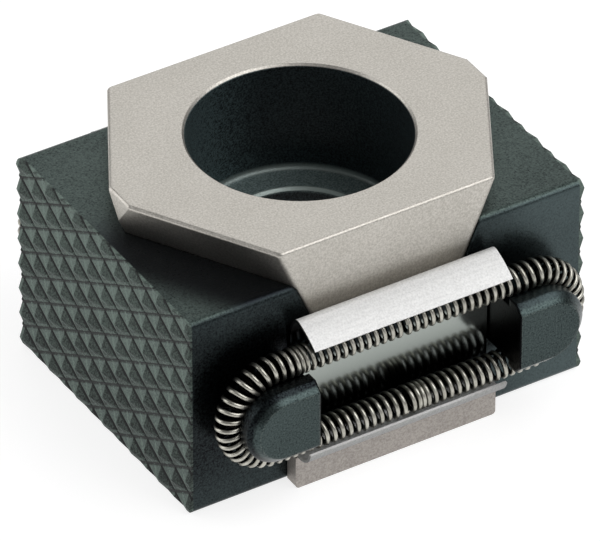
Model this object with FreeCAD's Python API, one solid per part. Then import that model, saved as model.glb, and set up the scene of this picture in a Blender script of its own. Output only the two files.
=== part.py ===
import FreeCAD, Part
import math
import os

# Low-profile wedge clamp for machining fixtures. A screw through the middle pulls the upper
# wedge down, its slanted flanks push the two toothed jaws apart along X, and a looped coil
# spring on each long side draws the jaws back.
# Frame, in millimetres: origin on the screw axis at the table, +X the way the right jaw
# clamps, -Y the front, +Z up. The clamp is drawn released.

V = FreeCAD.Vector
os.makedirs("parts", exist_ok=True)

# Jaw blocks
JAW_REACH = 20.25
JAW_DEPTH = 29.0
JAW_HEIGHT = 20.5
JAW_EDGE_ROUND = 0.6
RIDGE_HEIGHT = 7.2

# Pyramid teeth on the clamping faces, cut by two crossing sets of V grooves
GROOVE_PITCH = 2.34
GROOVE_DEPTH = 0.45
GROOVE_SLANT = math.radians(30.0)
FACE_FOOT_CHAMFER = 0.5

# Wedges: both have four flanks that lean inwards, two to a side, meeting in a blunt V
FLANK_LEAN = math.radians(20.0)
VEE_HALF_ANGLE = math.radians(60.0)
WEDGE_SHOULDER = 11.0
WEDGE_RISE = 4.0
WEDGE_REACH = 18.3
WEDGE_HEIGHT = 15.5
WEDGE_TRAVEL = 3.5
TRAVEL_SPARE = 0.1
WEDGE_CORNER_ROUND = 0.6
WEDGE_EDGE_ROUND = 0.3
LOWER_WEDGE_REACH = 14.4
WEDGE_FIT = 0.03

# Screw hole: a deep counterbore for the head over a plain hole for the shank
HEAD_BORE_RADIUS = 10.0
HEAD_BORE_DEPTH = 11.2
HEAD_BORE_CORNER = 0.5
SCREW_BORE_RADIUS = 6.9
BORE_EDGE_BREAK = 0.25

# Flanges of the lower wedge, which lap over the front and rear faces of the jaws
FLANGE_HALF_LENGTH = 10.25
FLANGE_THICKNESS = 1.45
FLANGE_CORNER_ROUND = 0.35
FLANGE_FIT = 0.1

# Coil springs, looped round the lugs
WIRE_RADIUS = 0.22
COIL_RADIUS = 1.355
COIL_PITCH = 0.79
SPRING_FIT = 0.05
SEGMENTS_PER_TURN = 6
WIRE_SIDES = 3

# Lugs on the jaws: a neck that carries the spring and a wider rim that keeps it on
LUG_START = 10.2
NECK_HALF_HEIGHT = 2.95
NECK_ARC_CENTRE = 13.0
RIM_HALF_HEIGHT = 3.65
RIM_REACH = 17.1
RIM_THICKNESS = 1.95
RIM_CHAMFER = 0.85

# Sheet guards, bent channels that stand behind the spring and roof its upper run
SHEET = 0.25
GUARD_END_GAP = 0.15
GUARD_BACK_GAP = 0.05
GUARD_SEAT_GAP = 0.02
COIL_TO_GUARD = 0.55
HOOD_HEADROOM = 1.91
LIP_RADIUS = 1.83
LIP_TIP_ANGLE = math.radians(10.0)
COIL_TO_LIP = 0.94
# The hood in three bends: outer radius, and heading at the bend's end, from +Y towards +Z
HOOD_BENDS = [
    (4.0, math.radians(52.0)),
    (0.8, math.radians(-20.0)),
    (8.5, math.radians(-40.0)),
]

# Worked out from the sizes above
FRONT = JAW_DEPTH / 2
MIDDLE = JAW_HEIGHT / 2
WEDGE_TOP = JAW_HEIGHT + WEDGE_RISE
WEDGE_BOTTOM = WEDGE_TOP - WEDGE_HEIGHT
LOWER_WEDGE_HEIGHT = WEDGE_BOTTOM - WEDGE_TRAVEL - TRAVEL_SPARE
FLANK_SLOPE = math.tan(FLANK_LEAN)
# Distance from the screw axis to a flank, square to the flank's line in plan
TOP_FLANK = WEDGE_SHOULDER * math.sin(VEE_HALF_ANGLE) + FRONT * math.cos(VEE_HALF_ANGLE)
RIDGE_FLANK = TOP_FLANK - FLANK_SLOPE * (WEDGE_TOP - RIDGE_HEIGHT)
BASE_FLANK = RIDGE_FLANK + FLANK_SLOPE * RIDGE_HEIGHT

WALL_BACK = FRONT + GUARD_BACK_GAP
SPRING_Y = WALL_BACK + SHEET + COIL_TO_GUARD + COIL_RADIUS
RUN_OFFSET = NECK_HALF_HEIGHT + SPRING_FIT + COIL_RADIUS
RIM_BACK = SPRING_Y + COIL_RADIUS + SPRING_FIT
LUG_FRONT = RIM_BACK + RIM_THICKNESS
GUARD_HALF_LENGTH = LUG_START - GUARD_END_GAP
GUARD_BOTTOM = MIDDLE - RUN_OFFSET - COIL_RADIUS - COIL_TO_LIP - SHEET
# The trough of the guard rests on the flange's outer top edge
FLANGE_FRONT = FRONT + FLANGE_FIT + FLANGE_THICKNESS
TROUGH_OVERHANG = max(0, WALL_BACK + LIP_RADIUS - FLANGE_FRONT)
TROUGH_RISE = LIP_RADIUS - math.sqrt(LIP_RADIUS ** 2 - TROUGH_OVERHANG ** 2)
FLANGE_HEIGHT = GUARD_BOTTOM + TROUGH_RISE - GUARD_SEAT_GAP


def block(x0, x1, y0, y1, z0, z1):
    return Part.makeBox(x1 - x0, y1 - y0, z1 - z0, V(x0, y0, z0))


def turned(shape):
    """The same piece on the opposite side of the clamp, half a turn round the screw axis."""
    return shape.rotated(V(0, 0, 0), V(0, 0, 1), 180)


def mirrored_in_y(shape):
    return shape.mirror(V(0, 0, 0), V(0, 1, 0))


def flank_outline(distance, z):
    """The four flank lines in plan: a diamond with its blunt corners on the X axis."""
    x = distance / math.sin(VEE_HALF_ANGLE)
    y = distance / math.cos(VEE_HALF_ANGLE)
    return Part.makePolygon([V(x, 0, z), V(0, y, z), V(-x, 0, z), V(0, -y, z), V(x, 0, z)])


def flanked_solid(distance_low, z_low, distance_high, z_high):
    """Solid between two levels whose sides are the four leaning flanks."""
    outlines = [flank_outline(distance_low, z_low), flank_outline(distance_high, z_high)]
    return Part.makeLoft(outlines, True, True)


def upper_flank(z):
    return TOP_FLANK - FLANK_SLOPE * (WEDGE_TOP - z)


def lower_flank(z):
    return BASE_FLANK - FLANK_SLOPE * z


def edges_where(shape, wanted):
    """Edges whose every vertex passes the test."""
    return [e for e in shape.Edges if all(wanted(v.Point) for v in e.Vertexes)]


def standing_edges(shape, reach):
    """Edges that run from the bottom of a wedge to its top, away from its middle."""
    box = shape.BoundBox
    found = []
    for edge in shape.Edges:
        low, high = sorted(v.Point.z for v in edge.Vertexes)
        if low < box.ZMin + 0.01 and high > box.ZMax - 0.01:
            if all(abs(v.Point.y) > reach for v in edge.Vertexes):
                found.append(edge)
    return found


def upper_wedge():
    body = flanked_solid(upper_flank(WEDGE_BOTTOM), WEDGE_BOTTOM, TOP_FLANK, WEDGE_TOP)
    envelope = block(-WEDGE_REACH, WEDGE_REACH, -FRONT, FRONT, WEDGE_BOTTOM, WEDGE_TOP)
    body = body.common(envelope)
    body = body.makeFillet(WEDGE_CORNER_ROUND, standing_edges(body, FRONT - 0.01))
    body = body.makeFillet(WEDGE_EDGE_ROUND, edges_where(body, lambda p: p.z > WEDGE_TOP - 0.01))

    floor = WEDGE_TOP - HEAD_BORE_DEPTH
    head_bore = Part.makeCylinder(HEAD_BORE_RADIUS, WEDGE_HEIGHT, V(0, 0, floor))
    head_bore = head_bore.makeFillet(
        HEAD_BORE_CORNER, edges_where(head_bore, lambda p: abs(p.z - floor) < 0.01)
    )
    mouth = Part.makeCone(
        HEAD_BORE_RADIUS, HEAD_BORE_RADIUS + BORE_EDGE_BREAK, BORE_EDGE_BREAK,
        V(0, 0, WEDGE_TOP - BORE_EDGE_BREAK),
    )
    hole = Part.makeCylinder(SCREW_BORE_RADIUS, WEDGE_HEIGHT, V(0, 0, WEDGE_BOTTOM))
    hole_mouth = Part.makeCone(
        SCREW_BORE_RADIUS, SCREW_BORE_RADIUS + BORE_EDGE_BREAK, BORE_EDGE_BREAK,
        V(0, 0, floor - BORE_EDGE_BREAK),
    )
    return body.cut([head_bore, mouth, hole, hole_mouth])


def lower_wedge():
    body = flanked_solid(BASE_FLANK, 0, lower_flank(LOWER_WEDGE_HEIGHT), LOWER_WEDGE_HEIGHT)
    core = block(-LOWER_WEDGE_REACH, LOWER_WEDGE_REACH, -FRONT, FRONT, 0, LOWER_WEDGE_HEIGHT)
    half = FLANGE_HALF_LENGTH
    stem = block(-half, half, -FLANGE_FRONT, FLANGE_FRONT, 0, FLANGE_HEIGHT)
    body = body.common(core.fuse(stem))
    flange = block(-half, half, -FLANGE_FRONT, -FRONT - FLANGE_FIT, 0, FLANGE_HEIGHT)
    ends = [
        e for e in edges_where(flange, lambda p: p.z < 0.01)
        if abs(e.Vertexes[0].Point.x - e.Vertexes[1].Point.x) < 0.01
    ]
    flange = flange.makeFillet(FLANGE_CORNER_ROUND, ends)
    body = body.fuse([flange, turned(flange)]).removeSplitter()
    return body.cut(Part.makeCylinder(SCREW_BORE_RADIUS, LOWER_WEDGE_HEIGHT))


def grooved_slab(slant):
    """Everything behind one set of V grooves that run at a slant across the clamping face."""
    along = V(0, math.cos(slant), math.sin(slant))
    across = V(0, -math.sin(slant), math.cos(slant))
    # Half a tooth above the middle, so that the grooves cross at the middle of the face
    centre = V(JAW_REACH, 0, MIDDLE + GROOVE_PITCH / 2 / math.cos(slant))
    half_span = JAW_DEPTH * abs(math.sin(slant)) / 2 + JAW_HEIGHT * math.cos(slant) / 2
    count = math.ceil(half_span / GROOVE_PITCH) + 1
    inwards = V(-1, 0, 0)
    points = [centre + across * (-count * GROOVE_PITCH) + inwards * JAW_REACH]
    for k in range(-count, count):
        tip = centre + across * (k * GROOVE_PITCH)
        points.append(tip)
        points.append(tip + across * (GROOVE_PITCH / 2) + inwards * GROOVE_DEPTH)
    points.append(centre + across * (count * GROOVE_PITCH))
    points.append(centre + across * (count * GROOVE_PITCH) + inwards * JAW_REACH)
    points.append(points[0])
    profile = Part.Face(Part.makePolygon(points))
    profile.translate(along * -(JAW_DEPTH + JAW_HEIGHT) / 2)
    return profile.extrude(along * (JAW_DEPTH + JAW_HEIGHT))


def foot_chamfer():
    """Sliver along the foot of the clamping face that keeps the teeth off the table."""
    corners = [
        V(JAW_REACH - FACE_FOOT_CHAMFER, -JAW_DEPTH, 0),
        V(JAW_REACH, -JAW_DEPTH, FACE_FOOT_CHAMFER),
        V(JAW_REACH + 1, -JAW_DEPTH, FACE_FOOT_CHAMFER + 1),
        V(JAW_REACH + 1, -JAW_DEPTH, -1),
        V(JAW_REACH - FACE_FOOT_CHAMFER - 1, -JAW_DEPTH, -1),
    ]
    outline = Part.makePolygon(corners + corners[:1])
    return Part.Face(outline).extrude(V(0, 2 * JAW_DEPTH, 0))


def lug_block(arc_centre, half_height, y_near, y_far):
    """Block with a flat inner end and a half-round outer end, drawn on the rear side."""
    top = V(arc_centre, y_near, MIDDLE + half_height)
    bottom = V(arc_centre, y_near, MIDDLE - half_height)
    tip = V(arc_centre + half_height, y_near, MIDDLE)
    inner_top = V(LUG_START, y_near, MIDDLE + half_height)
    inner_bottom = V(LUG_START, y_near, MIDDLE - half_height)
    edges = [
        Part.makeLine(inner_bottom, inner_top),
        Part.makeLine(inner_top, top),
        Part.Arc(top, tip, bottom).toShape(),
        Part.makeLine(bottom, inner_bottom),
    ]
    return Part.Face(Part.Wire(edges)).extrude(V(0, y_far - y_near, 0))


def lug():
    neck = lug_block(NECK_ARC_CENTRE, NECK_HALF_HEIGHT, FRONT - JAW_EDGE_ROUND, RIM_BACK)
    rim = lug_block(RIM_REACH - RIM_HALF_HEIGHT, RIM_HALF_HEIGHT, RIM_BACK, LUG_FRONT)
    outline = [
        e for e in edges_where(rim, lambda p: p.y > LUG_FRONT - 0.01)
        if e.BoundBox.XMax > LUG_START + 0.01
    ]
    return neck.fuse(rim.makeChamfer(RIM_CHAMFER, outline))


def right_jaw():
    body = block(0, JAW_REACH, -FRONT, FRONT, 0, JAW_HEIGHT)
    long_edges = [e for e in body.Edges if e.BoundBox.XLength > JAW_REACH / 2]
    body = body.makeFillet(JAW_EDGE_ROUND, long_edges)
    above = JAW_HEIGHT + 1
    upper_pocket = flanked_solid(
        RIDGE_FLANK + WEDGE_FIT, RIDGE_HEIGHT, upper_flank(above) + WEDGE_FIT, above
    )
    lower_pocket = flanked_solid(
        lower_flank(-1) + WEDGE_FIT, -1, RIDGE_FLANK + WEDGE_FIT, RIDGE_HEIGHT
    )
    body = body.cut([upper_pocket, lower_pocket])
    body = body.common(grooved_slab(GROOVE_SLANT)).common(grooved_slab(-GROOVE_SLANT))
    body = body.cut(foot_chamfer())
    return body.fuse([lug(), mirrored_in_y(lug())]).removeSplitter()


def arc(centre, radius, start, end):
    """Arc in the YZ plane; angles are measured from +Y towards +Z."""
    at = [
        centre + V(0, radius * math.cos(a), radius * math.sin(a))
        for a in (start, (start + end) / 2, end)
    ]
    return Part.Arc(*at).toShape()


def towards(angle):
    return V(0, math.cos(angle), math.sin(angle))


def hood_bends():
    """Centre, outer radius, first and last heading of each bend, from the wall to the tip."""
    crown = MIDDLE + RUN_OFFSET + COIL_RADIUS + HOOD_HEADROOM + SHEET
    at = V(-GUARD_HALF_LENGTH, WALL_BACK, 0)
    heading = math.pi / 2
    bends = []
    for radius, last in HOOD_BENDS:
        centre = at + towards(heading - math.pi / 2) * radius
        bends.append([centre, radius, heading, last])
        at = centre + towards(last + math.pi / 2) * radius
        heading = last
    crown_centre, crown_radius = bends[1][:2]
    lift = V(0, 0, crown - crown_radius - crown_centre.z)
    return [(centre + lift, radius, first, last) for centre, radius, first, last in bends]


def guard_edges(inset):
    """One side of the bent sheet, from the lip's tip to the hood's tip, drawn at the rear."""
    quarter = math.pi / 2
    hood = [
        arc(centre, radius - inset, first + quarter, last + quarter)
        for centre, radius, first, last in hood_bends()
    ]
    lip = V(-GUARD_HALF_LENGTH, WALL_BACK + LIP_RADIUS, GUARD_BOTTOM + LIP_RADIUS)
    trough = arc(lip, LIP_RADIUS - inset, 2 * math.pi - LIP_TIP_ANGLE, math.pi)
    wall = Part.makeLine(
        V(-GUARD_HALF_LENGTH, WALL_BACK + inset, lip.z),
        V(-GUARD_HALF_LENGTH, WALL_BACK + inset, hood_bends()[0][0].z),
    )
    return [trough, wall] + hood


def rear_spring_guard():
    outer = guard_edges(0)
    inner = guard_edges(SHEET)
    lip_tip = Part.makeLine(outer[0].firstVertex().Point, inner[0].firstVertex().Point)
    hood_tip = Part.makeLine(outer[-1].lastVertex().Point, inner[-1].lastVertex().Point)
    section = Part.Wire(Part.__sortEdges__(outer + inner + [hood_tip, lip_tip]))
    return Part.Face(section).extrude(V(2 * GUARD_HALF_LENGTH, 0, 0))


def loop_frame(s, straight, radius):
    """Place, heading and outward direction at arc length s of the spring's centre line."""
    bend = math.pi * radius
    s = s % (2 * straight + 2 * bend)
    if s < straight:
        return V(s - straight / 2, 0, radius), V(1, 0, 0), V(0, 0, 1)
    s -= straight
    if s < bend:
        a = math.pi / 2 - s / radius
        out = V(math.cos(a), 0, math.sin(a))
        return V(straight / 2, 0, 0) + out * radius, V(math.sin(a), 0, -math.cos(a)), out
    s -= bend
    if s < straight:
        return V(straight / 2 - s, 0, -radius), V(-1, 0, 0), V(0, 0, -1)
    s -= straight
    a = -math.pi / 2 - s / radius
    out = V(math.cos(a), 0, math.sin(a))
    return V(-straight / 2, 0, 0) + out * radius, V(math.sin(a), 0, -math.cos(a)), out


def rear_spring():
    """Endless coil round both lugs, as a wire of flat facets that follows the helix."""
    straight = 2 * NECK_ARC_CENTRE
    length = 2 * straight + 2 * math.pi * RUN_OFFSET
    turns = round(length / COIL_PITCH)
    sections = turns * SEGMENTS_PER_TURN
    wire_line = COIL_RADIUS - WIRE_RADIUS
    across = V(0, -1, 0)
    points = []
    for i in range(sections):
        place, heading, out = loop_frame(length * i / sections, straight, RUN_OFFSET)
        turn = 2 * math.pi * i / SEGMENTS_PER_TURN
        spoke = out * math.cos(turn) + across * math.sin(turn)
        middle = V(0, SPRING_Y, MIDDLE) + place + spoke * wire_line
        for k in range(WIRE_SIDES):
            around = 2 * math.pi * k / WIRE_SIDES
            point = middle + (spoke * math.cos(around) + heading * math.sin(around)) * WIRE_RADIUS
            points.append(point)
    facets = []
    for i in range(sections):
        here = i * WIRE_SIDES
        ahead = (i + 1) % sections * WIRE_SIDES
        for k in range(WIRE_SIDES):
            k2 = (k + 1) % WIRE_SIDES
            facets.append((here + k, here + k2, ahead + k2))
            facets.append((here + k, ahead + k2, ahead + k))
    skin = Part.Shape()
    skin.makeShapeFromMesh((points, facets), 0.001)
    return Part.Solid(Part.Shell(skin.Faces))


def save(name, shape):
    shape.exportStep(os.path.join("parts", name + ".step"))


def main():
    jaw = right_jaw()
    guard = rear_spring_guard()
    spring = rear_spring()
    save("upper_wedge", upper_wedge())
    save("lower_wedge", lower_wedge())
    save("right_jaw", jaw)
    save("left_jaw", turned(jaw))
    save("rear_spring_guard", guard)
    save("front_spring_guard", turned(guard))
    save("rear_spring", spring)
    save("front_spring", turned(spring))


main()
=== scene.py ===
import math
import bpy
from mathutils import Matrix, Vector


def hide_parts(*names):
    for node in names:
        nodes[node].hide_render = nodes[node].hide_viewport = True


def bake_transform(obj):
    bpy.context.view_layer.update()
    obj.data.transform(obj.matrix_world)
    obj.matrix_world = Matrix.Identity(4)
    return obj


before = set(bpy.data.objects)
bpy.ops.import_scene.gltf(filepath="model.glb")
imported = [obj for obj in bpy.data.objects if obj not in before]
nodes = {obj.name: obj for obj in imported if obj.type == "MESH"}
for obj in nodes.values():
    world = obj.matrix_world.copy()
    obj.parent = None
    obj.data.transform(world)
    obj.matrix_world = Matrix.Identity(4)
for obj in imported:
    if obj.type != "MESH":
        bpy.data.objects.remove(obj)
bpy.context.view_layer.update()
MM = 0.001

# Lower wedge
# A block of tool steel that lies on the table, sawn, milled and then blasted to a fine matt grain.
# Only its two flanges show, under the springs. The screw passes through its middle.


class Socket:
    """One socket of a node tree. Sums written with it add their Math nodes."""

    def __init__(self, tree, out):
        self.tree = tree
        self.out = out

    def node(self, kind, settings, inputs, output=0):
        """Adds a node: its settings first, then the value or the link of each socket."""
        made = self.tree.nodes.new(kind)
        for name, value in settings.items():
            setattr(made, name, value)
        for name, value in inputs.items():
            if isinstance(value, Socket):
                self.tree.links.new(value.out, made.inputs[name])
            else:
                made.inputs[name].default_value = value
        return Socket(self.tree, made.outputs[output])

    def maths(self, operation, first, second=0.0):
        return self.node("ShaderNodeMath", {"operation": operation}, {0: first, 1: second})

    def __add__(self, other):
        return self.maths("ADD", self, other)

    def __radd__(self, other):
        return self.maths("ADD", other, self)

    def __sub__(self, other):
        return self.maths("SUBTRACT", self, other)

    def __rsub__(self, other):
        return self.maths("SUBTRACT", other, self)

    def __mul__(self, other):
        return self.maths("MULTIPLY", self, other)

    def __rmul__(self, other):
        return self.maths("MULTIPLY", other, self)

    def __pow__(self, other):
        return self.maths("POWER", self, other)

    def part(self, name):
        """X, Y or Z of a vector socket."""
        return self.node("ShaderNodeSeparateXYZ", {}, {"Vector": self}, name)

    def size(self):
        return self.maths("ABSOLUTE", self)

    def most(self, other):
        return self.maths("MAXIMUM", self, other)

    def noise(self, scale, detail=2.0, roughness=0.5):
        inputs = {"Vector": self, "Scale": scale, "Detail": detail, "Roughness": roughness}
        return self.node("ShaderNodeTexNoise", {}, inputs)

    def rise(self, low, high):
        """0 at low, 1 at high, smooth between, and the same if low is the larger one."""
        settings = {"interpolation_type": "SMOOTHSTEP"}
        inputs = {"Value": self, "From Min": low, "From Max": high}
        return self.node("ShaderNodeMapRange", settings, inputs)

    def between(self, dark, light):
        """Colour that goes from dark to light with this socket."""
        return self.node("ShaderNodeMix", {"data_type": "RGBA"}, {0: self, 6: dark, 7: light}, 2)

    def bump(self, distance, normal=None):
        inputs = {"Height": self, "Distance": distance, "Strength": 1.0}
        if normal:
            inputs["Normal"] = normal
        return self.node("ShaderNodeBump", {}, inputs)


def tint(red, green, blue):
    """Linear colour from the 0 to 255 values of a screen colour."""
    shares = [c / 255 for c in (red, green, blue)]
    return (*[c / 12.92 if c < 0.04045 else ((c + 0.055) / 1.055) ** 2.4 for c in shares], 1.0)


def new_finish(name, fixed):
    """A material, its shader with its fixed values set, and the place on the piece."""
    material = bpy.data.materials.new(name)
    material.use_nodes = True
    shader = material.node_tree.nodes["Principled BSDF"]
    for socket, value in fixed.items():
        shader.inputs[socket].default_value = value
    place = material.node_tree.nodes.new("ShaderNodeTexCoord")
    return material, shader, Socket(material.node_tree, place.outputs["Object"])


def feed(shader, values):
    for socket, value in values.items():
        value.tree.links.new(value.out, shader.inputs[socket])


def finish_node(name, material):
    nodes[name].data.materials.clear()
    nodes[name].data.materials.append(material)


FLANGE_DARK = tint(150, 144, 139)
FLANGE_LIGHT = tint(196, 190, 184)
GRAIN = 1 / (0.17 * MM)
GRAIN_DEPTH = 0.01 * MM

flange_steel, shader, at = new_finish("blasted_flange_steel", {"Specular IOR Level": 0.4})
grain = at.noise(GRAIN, 3, 0.6)
clouds = at.noise(1 / (4 * MM), 2, 0.5)
edge = at.node("ShaderNodeBevel", {"samples": 4}, {"Radius": 0.12 * MM})
feed(shader, {
    "Base Color": (grain * 0.7 + clouds * 0.3).rise(0.25, 0.75).between(FLANGE_DARK, FLANGE_LIGHT),
    "Metallic": 0.8 + grain * 0.2,
    "Roughness": 0.48 + clouds * 0.2,
    "Normal": grain.bump(GRAIN_DEPTH, edge),
})
finish_node("lower_wedge", flange_steel)

# Jaws
# Two equal castings of steel, machined and then blackened, with pyramid teeth cut into the clamping
# faces and a lug on each long side. Painted shade darkens the grooves, the long sides and the lugs'
# inner ends, and a painted shadow of the wedge darkens the top beside its front left flank.

CLAMPING_FACE = 20.25 * MM
GROOVE_PITCH = 2.34 * MM
TOOTH_ROW = 11.601 * MM
TOOTH_SLANT = math.radians(30)
TOOTH_DEPTH = 0.45 * MM
SIDE_FACE = 14.5 * MM
LUG_START = 10.2 * MM
LUG_FACE = 20.06 * MM
FLANK_DISTANCE = 15.3 * MM
FLANK_TURN = math.radians(60)
LUG_EDGE_WEAR = 0.4 * MM
TOOTH_EDGE_WEAR = 0.08 * MM
OXIDE_DARK = tint(36, 44, 43)
OXIDE_LIGHT = tint(80, 92, 88)
TOOTH_DARK = tint(12, 16, 16)
TOOTH_LIGHT = tint(118, 135, 127)
PAINTED_SHADE_BLACK = tint(8, 9, 13)
SIDE_LIGHT = tint(76, 88, 89)
LUG_DARK = tint(34, 42, 43)
LUG_LIGHT = tint(76, 88, 87)
LUG_RUBBED_HIGHLIGHT = tint(150, 158, 152)
FLANK_SHADOW = tint(28, 32, 36)

oxide, shader, at = new_finish("black_oxide_steel", {"Specular IOR Level": 0.4})
grain = at.noise(GRAIN, 2, 0.6)
haze = at.noise(1 / (6 * MM), 2, 0.5)
fine = (grain * 0.8 + haze * 0.2).rise(0.25, 0.75)
x, y, z = at.part("X"), at.part("Y"), at.part("Z")
reach, depth = x.size(), y.size()

# Distances to the nearest ridge of each set of grooves, and painted shade on the front facing side
# of each tooth. The right jaw is the left one turned round. Ridges are rubbed bright with a painted
# highlight, a light streak runs beside the flatter grooves, painted shade fills the grooves, and
# the teeth are lighter towards the top.
height = (z - TOOTH_ROW) * math.cos(TOOTH_SLANT)
backwards = y * x.maths("SIGN", x) * -math.sin(TOOTH_SLANT)
rows = [(height - backwards) * (1 / GROOVE_PITCH), (height + backwards) * (1 / GROOVE_PITCH)]
rising, falling = [row - row.maths("ROUND", row) for row in rows]
steep_groove_shade = rising.size().rise(0.36, 0.48)
flat_groove_shade = falling.size().rise(0.41, 0.47)
light_streak = falling.rise(-0.46, -0.41) * falling.rise(-0.28, -0.34)
rubbed_and_highlit_ridges = (rising.size().rise(0.09, 0.02) + light_streak) * fine
front_facet_shade = (falling - rising).rise(0.04, -0.04)
tooth_foot = CLAMPING_FACE - TOOTH_DEPTH
toothed = reach.rise(tooth_foot - 0.17 * MM, tooth_foot - 0.03 * MM)
tooth_parts = fine * 0.6 + z.rise(0.0, 18 * MM) * 0.14 + 0.3 - front_facet_shade * 0.38 + rubbed_and_highlit_ridges * 0.5
tooth = (tooth_parts - (steep_groove_shade + flat_groove_shade) * 0.5).between(TOOTH_DARK, TOOTH_LIGHT)

# Painted shade darkens the long sides, and painted light lightens them towards the +X end, the
# bottom and the top, so the left jaw's front is darkest halfway up
long_side = depth.rise(SIDE_FACE - 0.35 * MM, SIDE_FACE - 0.05 * MM)
long_side = long_side * depth.rise(LUG_FACE - 0.3 * MM, LUG_FACE - 0.6 * MM)
painted_side_light = x.rise(6 * MM, 18 * MM) * 0.55
painted_side_light = painted_side_light + z.rise(7 * MM, 1 * MM) * 0.26 + z.rise(15 * MM, 20 * MM) * 0.16
side = (painted_side_light + fine * 0.4 - 0.1).between(PAINTED_SHADE_BLACK, SIDE_LIGHT)

# The lugs are paler, with edges that handling has rubbed and that carry a painted highlight,
# and painted shade makes their end on the wedge's side black
worn_edge = at.node("ShaderNodeBevel", {"samples": 6}, {"Radius": LUG_EDGE_WEAR})
sharp_edge = at.node("ShaderNodeBevel", {"samples": 4}, {"Radius": TOOTH_EDGE_WEAR})
facing = at.node("ShaderNodeNewGeometry", {}, {}, "Normal")
settings = {"operation": "DOT_PRODUCT"}
bent = at.node("ShaderNodeVectorMath", settings, {0: worn_edge, 1: facing}, "Value")
rubbed_and_highlit_rim = bent.rise(0.93, 0.8) * grain.rise(0.35, 0.6) * 0.6
lug_colour = rubbed_and_highlit_rim.between(fine.between(LUG_DARK, LUG_LIGHT), LUG_RUBBED_HIGHLIGHT)
lug = depth.rise(SIDE_FACE + 0.05 * MM, SIDE_FACE + 0.3 * MM)
shaded_lug_end = reach.rise(LUG_START + 0.12 * MM, LUG_START + 0.04 * MM)
shaded_lug_end = shaded_lug_end * depth.rise(SIDE_FACE + 0.1 * MM, SIDE_FACE + 0.2 * MM)

# Painted shadow of the wedge on the left jaw's top, along its front left flank
from_flank = reach * math.sin(FLANK_TURN) + depth * math.cos(FLANK_TURN) - FLANK_DISTANCE
painted_flank_shadow = from_flank.rise(7.5 * MM, 3.5 * MM) * x.rise(0.0, -1 * MM) * y.rise(5 * MM, -2 * MM)
top_colour = painted_flank_shadow.between(fine.between(OXIDE_DARK, OXIDE_LIGHT), FLANK_SHADOW)
plain = lug.between(top_colour, lug_colour)
bare = toothed.between(long_side.between(plain, side), tooth)
inputs = {0: toothed, 4: worn_edge, 5: sharp_edge}
edge = at.node("ShaderNodeMix", {"data_type": "VECTOR"}, inputs, 1)
feed(shader, {
    # painted shade makes the lugs' inner ends black
    "Base Color": shaded_lug_end.between(bare, PAINTED_SHADE_BLACK),
    "Metallic": 0.96 - toothed * 0.6 - fine * 0.04,
    "Roughness": 0.26 + fine * 0.08 + toothed * 0.3,
    "Normal": grain.bump(0.016 * MM, edge),
})
for jaw in ("left_jaw", "right_jaw"):
    finish_node(jaw, oxide)

# Upper wedge
# An octagonal plate of blasted steel. The counterbore, its floor and the screw hole keep the black
# oxide. Painted light lightens the back left of the bore wall and the floor, and painted highlights
# draw light lines along the hole's edge and round the foot of the bore wall.

HEAD_BORE = 10.0 * MM
SCREW_BORE = 6.9 * MM
BORE_FLOOR = 13.3 * MM
WEDGE_EDGE_WEAR = 0.1 * MM
BLASTED_DARK = tint(172, 168, 160)
BLASTED_LIGHT = tint(210, 206, 199)
BORE_DARK = tint(10, 12, 17)
BORE_LIGHT = tint(84, 100, 102)
FLOOR_LIGHT = tint(140, 156, 154)
ARC_HIGHLIGHT = tint(160, 172, 168)

wedge_steel, shader, at = new_finish("blasted_wedge_steel", {"Specular IOR Level": 0.4})
x, y, z = at.part("X"), at.part("Y"), at.part("Z")
radius = (x * x + y * y) ** 0.5
grain = at.noise(GRAIN, 3, 0.6)
clouds = at.noise(1 / (5 * MM), 2, 0.5)
blackened = radius.rise(HEAD_BORE + 0.1 * MM, HEAD_BORE + 0.02 * MM)
# Painted highlight along the hole's edge
hole_edge_highlight = radius.rise(SCREW_BORE + 0.5 * MM, SCREW_BORE + 0.25 * MM)
hole_edge_highlight = hole_edge_highlight * z.rise(BORE_FLOOR - 0.3 * MM, BORE_FLOOR - 0.2 * MM)
# Painted highlight round the foot of the bore wall
corner_highlight = radius.rise(HEAD_BORE - 0.5 * MM, HEAD_BORE - 0.2 * MM)
corner_highlight = corner_highlight * z.rise(BORE_FLOOR + 0.7 * MM, BORE_FLOOR + 0.3 * MM)
bright = (grain * 0.85 + clouds * 0.15).rise(0.25, 0.75).between(BLASTED_DARK, BLASTED_LIGHT)
# Painted light: the floor is lighter than the wall
on_floor = radius.rise(HEAD_BORE - 0.2 * MM, HEAD_BORE - 0.5 * MM)
on_floor = on_floor * z.rise(BORE_FLOOR - 0.5 * MM, BORE_FLOOR - 0.2 * MM)
# Painted light: the back left of the bore wall is lighter
painted_lit_wall = x.rise(3 * MM, -6 * MM) * y.rise(-6 * MM, 4 * MM)
wall = (grain.rise(0.3, 0.7) * (painted_lit_wall * 1.3 + 0.4)).between(BORE_DARK, BORE_LIGHT)
floor = grain.rise(0.3, 0.7).between(BORE_LIGHT, FLOOR_LIGHT)
inside = (hole_edge_highlight + corner_highlight * 0.5).between(on_floor.between(wall, floor), ARC_HIGHLIGHT)
edge = at.node("ShaderNodeBevel", {"samples": 4}, {"Radius": WEDGE_EDGE_WEAR})
feed(shader, {
    "Base Color": blackened.between(bright, inside),
    "Metallic": 1.0 - blackened * 0.5,
    "Roughness": 0.38 + clouds * 0.08,
    "Normal": grain.bump(2 * GRAIN_DEPTH, edge),
})
finish_node("upper_wedge", wedge_steel)

# Spring guards
# Channels bent from thin stainless sheet. The hood is a bright satin, and the wall behind the coils
# keeps the sheet's mirror finish, so the coils show in it a second time. Painted shade makes the
# cut ends and the underside of the hood dark, and darkens the mirror wall under the hood and
# towards its foot.

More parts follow.
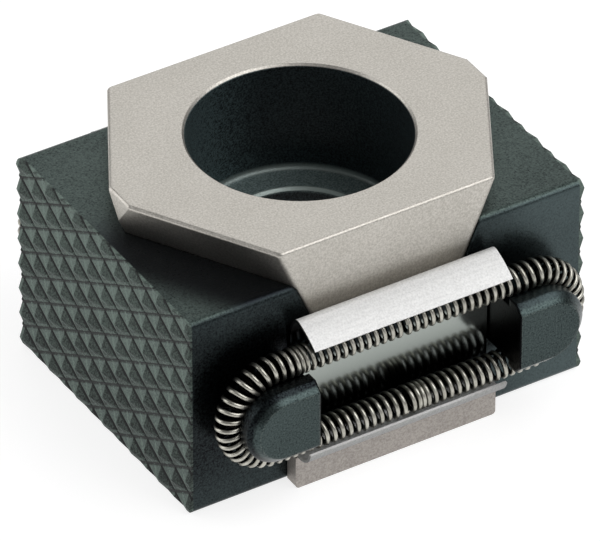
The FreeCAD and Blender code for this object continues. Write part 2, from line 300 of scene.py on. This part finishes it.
GUARD_END = 10.05 * MM
WALL_FACE = 14.8 * MM
UPPER_RUN_Y = 16.705 * MM
UPPER_RUN_Z = 14.605 * MM
SATIN_DARK = tint(220, 220, 219)
SATIN_LIGHT = tint(252, 252, 251)
MIRROR_UNSHADED = tint(154, 160, 155)
MIRROR_SHADE = tint(22, 27, 29)
SHADE_DARK = tint(20, 22, 23)

sheet_steel, shader, at = new_finish("bright_sheet_steel", {"Specular IOR Level": 0.5})
x, y, z = at.part("X"), at.part("Y"), at.part("Z")
reach, depth = x.size(), y.size()
cut_end = reach.rise(GUARD_END - 0.03 * MM, GUARD_END - 0.01 * MM) * z.rise(5 * MM, 6 * MM)
mirror = depth.rise(WALL_FACE + 1.2 * MM, WALL_FACE + 0.5 * MM)
mirror = mirror * z.rise(3.6 * MM, 4.4 * MM) * z.rise(17 * MM, 16 * MM)
facing = at.node("ShaderNodeNewGeometry", {}, {}, "Normal")
off_row = (y - y.maths("SIGN", y) * UPPER_RUN_Y) * facing.part("Y")
off_run = (off_row + (z - UPPER_RUN_Z) * facing.part("Z")) * (1 / MM)
underside = off_run.rise(0.05, -0.05) * z.rise(15.2 * MM, 15.6 * MM)
stretched = at.node("ShaderNodeMapping", {}, {"Vector": at, "Scale": (0.04, 1.0, 1.0)})
rolled = stretched.noise(1 / (0.25 * MM), 3, 0.6)
grain = at.noise(GRAIN, 2, 0.5)
satin = (rolled * 0.3 + grain * 0.7).rise(0.25, 0.75).between(SATIN_DARK, SATIN_LIGHT)
trough = depth.rise(15.6 * MM, 16.2 * MM) * z.rise(6 * MM, 5.5 * MM)
# Painted shade on the mirror wall: darker towards its foot and above 12 mm, under the hood
painted_wall_shade = z.rise(11.5 * MM, 5.5 * MM) + z.rise(11.8 * MM, 12.4 * MM)
mirrored = painted_wall_shade.between(MIRROR_UNSHADED, MIRROR_SHADE)
# Painted shade: the cut ends and the underside of the hood are dark
painted_shade = cut_end.most(underside)
feed(shader, {
    "Base Color": painted_shade.between(mirror.between(satin, mirrored), SHADE_DARK),
    "Metallic": 0.3 + mirror * 0.7 - trough * 0.28,
    "Roughness": 0.5 - mirror * 0.38 + rolled * 0.04,
    "Normal": (rolled + grain).bump(0.001 * MM),
})
for guard in ("front_spring_guard", "rear_spring_guard"):
    finish_node(guard, sheet_steel)

# Springs
# One closed loop of fine steel coil on each long side, stretched round the necks of the two lugs.
# It is joined from two lengths, whose ends are screwed into each other. Painted shade makes the
# inside of the coil black and darkens its rear half, towards the guard wall.
# Each half of a loop is a piece of its own, because its bend moves with its jaw.

COIL_RADIUS = 1.355 * MM
WIRE_RADIUS = 0.22 * MM
LUG_CENTRE = 13.0 * MM
RUN_OFFSET = 4.355 * MM
SPRING_Y = 16.705 * MM
SPRING_Z = 10.25 * MM
TURNS = 50
POINTS_PER_TURN = 26
WIRE_SIDES = 8
JOINT_SHARE = 0.022
JOINT_TURNS = 1.2
COIL_SHADE = tint(16, 15, 12)
WIRE_DARK = tint(158, 156, 146)
WIRE_LIGHT = tint(206, 204, 194)

spring_steel, shader, at = new_finish("spring_steel", {"Specular IOR Level": 0.5})
clouds = at.noise(1 / (0.8 * MM), 3, 0.6)
x, y, z = at.part("X"), at.part("Y"), at.part("Z")
past_centre = (x.size() - LUG_CENTRE).most(0.0)
above = z - SPRING_Z
from_loop = (past_centre * past_centre + above * above) ** 0.5 - RUN_OFFSET
from_row = y.size() - SPRING_Y
from_line = (from_loop * from_loop + from_row * from_row) ** 0.5
# Painted shade: the inner side of the wire and the coil's rear half are dark
unshaded_wire = from_line.rise(COIL_RADIUS - 1.2 * WIRE_RADIUS, COIL_RADIUS - 0.3 * WIRE_RADIUS)
unshaded_wire = unshaded_wire * (from_row.rise(-0.9 * MM, 0.2 * MM) * 0.85 + 0.15)
bright = clouds.rise(0.25, 0.75).between(WIRE_DARK, WIRE_LIGHT)
feed(shader, {
    "Base Color": unshaded_wire.between(COIL_SHADE, bright),
    "Metallic": 0.95 + clouds * 0.05,
    "Roughness": 0.3 + clouds * 0.12,
})

coil = bpy.data.node_groups.new("coil_round_a_line", "GeometryNodeTree")
COIL_INPUTS = {
    "Line": "NodeSocketGeometry",
    "Turns": "NodeSocketFloat",
    "Points": "NodeSocketInt",
    "Coil Radius": "NodeSocketFloat",
    "Wire Radius": "NodeSocketFloat",
    "Wire Sides": "NodeSocketInt",
    "Joint From": "NodeSocketFloat",
    "Joint To": "NodeSocketFloat",
    "Joint Turns": "NodeSocketFloat",
    "Finish": "NodeSocketMaterial",
}
sockets = {
    name: coil.interface.new_socket(name, in_out="INPUT", socket_type=kind).identifier
    for name, kind in COIL_INPUTS.items()
}
coil.interface.new_socket("Wire", in_out="OUTPUT", socket_type="NodeSocketGeometry")
given = coil.nodes.new("NodeGroupInput")
given = {name: Socket(coil, given.outputs[name]) for name in COIL_INPUTS}
line = given["Line"]
line = line.node("GeometryNodeMeshToCurve", {}, {"Mesh": line})
line = line.node("GeometryNodeResampleCurve", {}, {"Curve": line, "Count": given["Points"]})
along = line.node("GeometryNodeSplineParameter", {}, {}, "Factor")
settings = {"interpolation_type": "SMOOTHSTEP"}
inputs = {"Value": along, "From Min": given["Joint From"], "From Max": given["Joint To"]}
doubled = line.node("ShaderNodeMapRange", settings, inputs)
turn = (along * given["Turns"] + doubled * given["Joint Turns"]) * (-2 * math.pi)
heading = line.node("GeometryNodeInputTangent", {}, {})
across = (0.0, 1.0, 0.0)
outward = line.node("ShaderNodeVectorMath", {"operation": "CROSS_PRODUCT"}, {0: heading, 1: across})
up_share = turn.maths("COSINE", turn) * given["Coil Radius"]
side_share = turn.maths("SINE", turn) * given["Coil Radius"]
spoke = line.node("ShaderNodeVectorMath", {"operation": "SCALE"}, {0: outward, "Scale": up_share})
side = line.node("ShaderNodeCombineXYZ", {}, {"Y": side_share})
spoke = line.node("ShaderNodeVectorMath", {"operation": "ADD"}, {0: spoke, 1: side})
line = line.node("GeometryNodeSetPosition", {}, {"Geometry": line, "Offset": spoke})
inputs = {"Resolution": given["Wire Sides"], "Radius": given["Wire Radius"]}
ring = line.node("GeometryNodeCurvePrimitiveCircle", {}, inputs)
inputs = {"Curve": line, "Profile Curve": ring, "Fill Caps": True}
wire = line.node("GeometryNodeCurveToMesh", {}, inputs)
wire = wire.node("GeometryNodeRealizeInstances", {}, {"Geometry": wire})
wire = wire.node("GeometryNodeSetMaterial", {}, {"Geometry": wire, "Material": given["Finish"]})
coil.links.new(wire.out, coil.nodes.new("NodeGroupOutput").inputs["Wire"])


def half_loop(side, y):
    """Centre line of the half loop on one side, clockwise as seen from the front."""
    bend = [
        (side * (LUG_CENTRE + RUN_OFFSET * math.sin(a)), RUN_OFFSET * math.cos(a))
        for a in [math.pi * k / 60 for k in range(61)]
    ]
    points = [(0.0, RUN_OFFSET)] + bend + [(0.0, -RUN_OFFSET)]
    if side < 0:
        points.reverse()
    return [(px, y, SPRING_Z + pz) for px, pz in points]


# The middle of each joint, as a share of its half's length
WIRE_JOINTS = {
    ("front", "left_jaw"): 0.735,
    ("front", "right_jaw"): 0.958,
    ("rear", "right_jaw"): 0.265,
    ("rear", "left_jaw"): 0.042,
}
for (row, jaw), joint in WIRE_JOINTS.items():
    side = -1 if jaw == "left_jaw" else 1
    y = -SPRING_Y if row == "front" else SPRING_Y
    points = half_loop(side, y)
    mesh = bpy.data.meshes.new("coil_line")
    mesh.from_pydata(points, [(k, k + 1) for k in range(len(points) - 1)], [])
    wound = bpy.data.objects.new("coil_line", mesh)
    bpy.context.scene.collection.objects.link(wound)
    winder = wound.modifiers.new("coil", "NODES")
    winder.node_group = coil
    values = {
        "Turns": float(TURNS),
        "Points": TURNS * POINTS_PER_TURN + 1,
        "Coil Radius": COIL_RADIUS - WIRE_RADIUS,
        "Wire Radius": WIRE_RADIUS,
        "Wire Sides": WIRE_SIDES,
        "Joint From": joint - JOINT_SHARE,
        "Joint To": joint + JOINT_SHARE,
        "Joint Turns": JOINT_TURNS,
        "Finish": spring_steel,
    }
    for name, value in values.items():
        winder[sockets[name]] = value
    bpy.context.view_layer.update()
    graph = bpy.context.evaluated_depsgraph_get()
    mesh = bpy.data.meshes.new_from_object(wound.evaluated_get(graph))
    mesh.shade_smooth()
    bpy.data.objects.remove(wound)
    piece = bpy.data.objects.new(f"{row}_spring_{jaw[:-4]}_half", mesh)
    bpy.context.scene.collection.objects.link(piece)
    side * LUG_CENTRE
    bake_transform(piece)
    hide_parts(row + "_spring")

# Table, lamps and camera
# The clamp stands on a plain pale table between two large soft panels, one behind it and one before
# it, both high on the right. A smaller lamp behind it on the left picks out the teeth.

TABLE_HALF = 3.0
table = bpy.data.meshes.new("table")
corners = [(px * TABLE_HALF, py * TABLE_HALF, 0) for px, py in ((-1, -1), (1, -1), (1, 1), (-1, 1))]
table.from_pydata(corners, [], [(0, 1, 2, 3)])
table = bpy.data.objects.new("table", table)
table.location.z = -0.00002
bpy.context.scene.collection.objects.link(table)
paper = bpy.data.materials.new("pale_table")
paper.use_nodes = True
tree = paper.node_tree
tree.nodes.remove(tree.nodes["Principled BSDF"])
path = tree.nodes.new("ShaderNodeLightPath")
camera_ray, glossy_ray, clear_ray = [
    Socket(tree, path.outputs[name])
    for name in ("Is Camera Ray", "Is Glossy Ray", "Is Transmission Ray")
]
seen = camera_ray.most(glossy_ray).most(clear_ray)
pale = seen.node("ShaderNodeBsdfDiffuse", {}, {"Color": (0.3, 0.3, 0.3, 1)}, "BSDF")
soft = seen.node("ShaderNodeBsdfDiffuse", {}, {"Color": (0.36, 0.36, 0.36, 1)}, "BSDF")
glow = seen.node("ShaderNodeEmission", {}, {"Color": (1, 1, 1, 1), "Strength": 0.8}, "Emission")
white = seen.node("ShaderNodeAddShader", {}, {0: soft, 1: glow})
both = seen.node("ShaderNodeMixShader", {}, {0: seen, 1: pale, 2: white})
tree.links.new(both.out, tree.nodes["Material Output"].inputs["Surface"])
table.data.materials.append(paper)

AIM = Vector((0.0, 0.0, 0.012))
LAMPS = {
    "back_panel": ((0.33, 0.53, 0.48), 0.8, 0.9),
    "front_panel": ((0.32, -0.36, 0.6), 0.7, 2.4),
    "left_lamp": ((-0.5, 0.36, 0.28), 0.55, 1.7),
}
for name, (place, side, radiance) in LAMPS.items():
    lamp = bpy.data.lights.new(name, "AREA")
    lamp.shape = "SQUARE"
    lamp.size = side
    lamp.energy = radiance * math.pi * side * side
    lamp = bpy.data.objects.new(name, lamp)
    lamp.location = place
    lamp.rotation_euler = (Vector(place) - AIM).to_track_quat("Z", "Y").to_euler()
    bpy.context.scene.collection.objects.link(lamp)

world = bpy.data.worlds.new("studio")
world.use_nodes = True
world.node_tree.nodes["Background"].inputs["Color"].default_value = (1, 1, 1, 1)
world.node_tree.nodes["Background"].inputs["Strength"].default_value = 0.22
bpy.context.scene.world = world

AZIMUTH = math.radians(-31.6)
ELEVATION = math.radians(36.73)
DISTANCE = 821.3 * MM
IMAGE_WIDTH = 600
FOCAL_PIXELS = 9376.6
back = Vector((math.sin(AZIMUTH), -math.cos(AZIMUTH), math.tan(ELEVATION))) * math.cos(ELEVATION)
right = Vector((math.cos(AZIMUTH), math.sin(AZIMUTH), 0.0))
up = back.cross(right)
camera = bpy.data.objects.new("camera", bpy.data.cameras.new("camera"))
camera.data.sensor_width = 36.0
camera.data.lens = camera.data.sensor_width * FOCAL_PIXELS / IMAGE_WIDTH
camera.data.clip_start = 0.05
camera.location = AIM + right * 0.03 * MM - up * 2.07 * MM + back * DISTANCE
camera.rotation_euler = (math.pi / 2 - ELEVATION, 0.0, AZIMUTH)
bpy.context.scene.collection.objects.link(camera)
bpy.context.scene.camera = camera
bpy.context.scene.view_settings.view_transform = "Standard"
